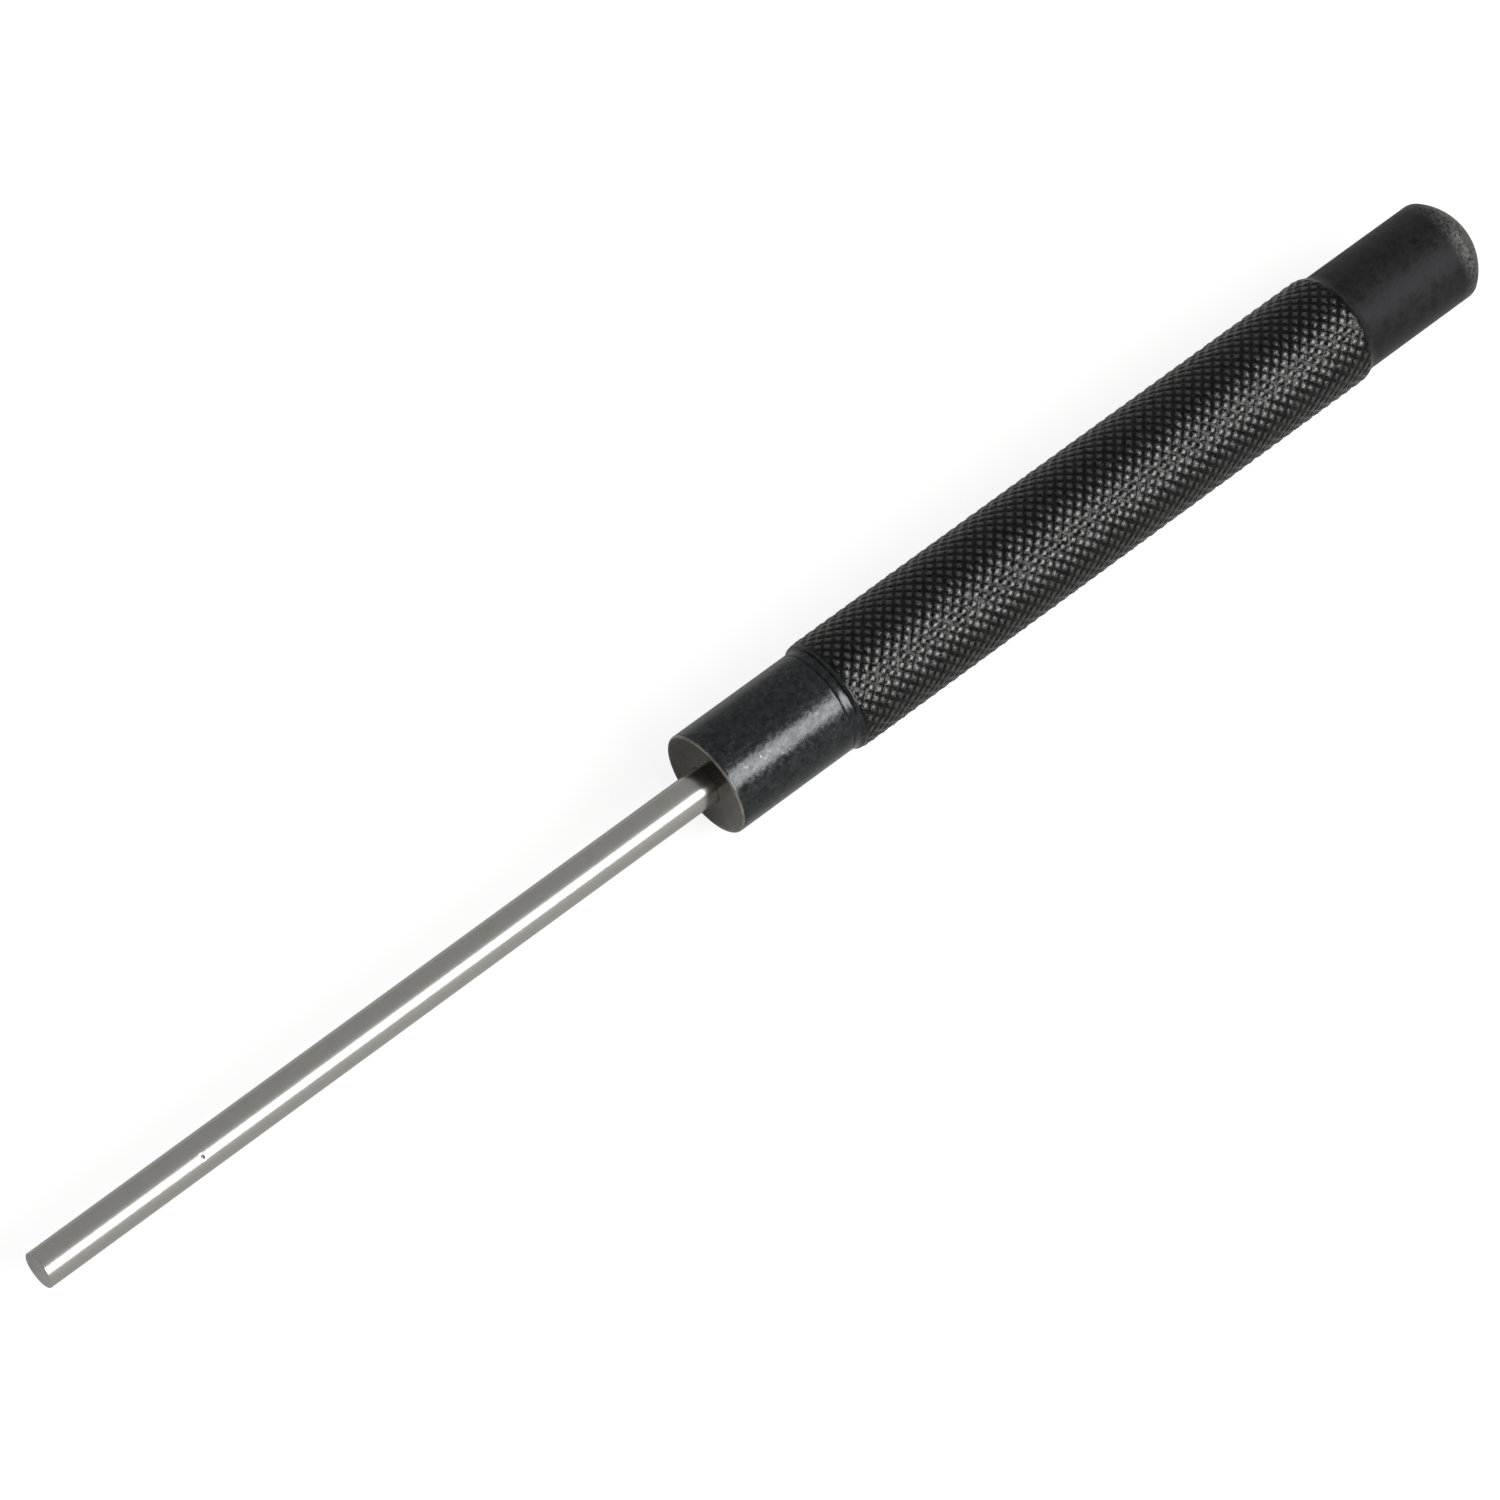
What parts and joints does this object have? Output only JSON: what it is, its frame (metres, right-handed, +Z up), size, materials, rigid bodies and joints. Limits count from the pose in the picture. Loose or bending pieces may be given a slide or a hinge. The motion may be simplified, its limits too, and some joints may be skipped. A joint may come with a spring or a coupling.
{
  "type": "pin punch",
  "caption": "Long-series pin punch: a round steel handle with a diamond-knurled grip and domed striking head, with a slim ground pin pressed into its nose.",
  "frame": {"origin": "centre of the flat face at the pin's tip, on the punch's axis", "axes": "+X runs along the punch from the tip to the striking head, +Z is up with the punch lying down, +Y completes the right-handed frame"},
  "size_m": [0.229, 0.0152, 0.0152],
  "materials": {
    "black_oxide_steel": "black oxide over turned and knurled steel, satin with a faint oil sheen",
    "ground_steel": "bright centreless-ground silver steel with fine marks around the pin"
  },
  "bodies": {
    "root": {"handle": "black_oxide_steel", "pin": "ground_steel"}
  },
  "joints": []
}
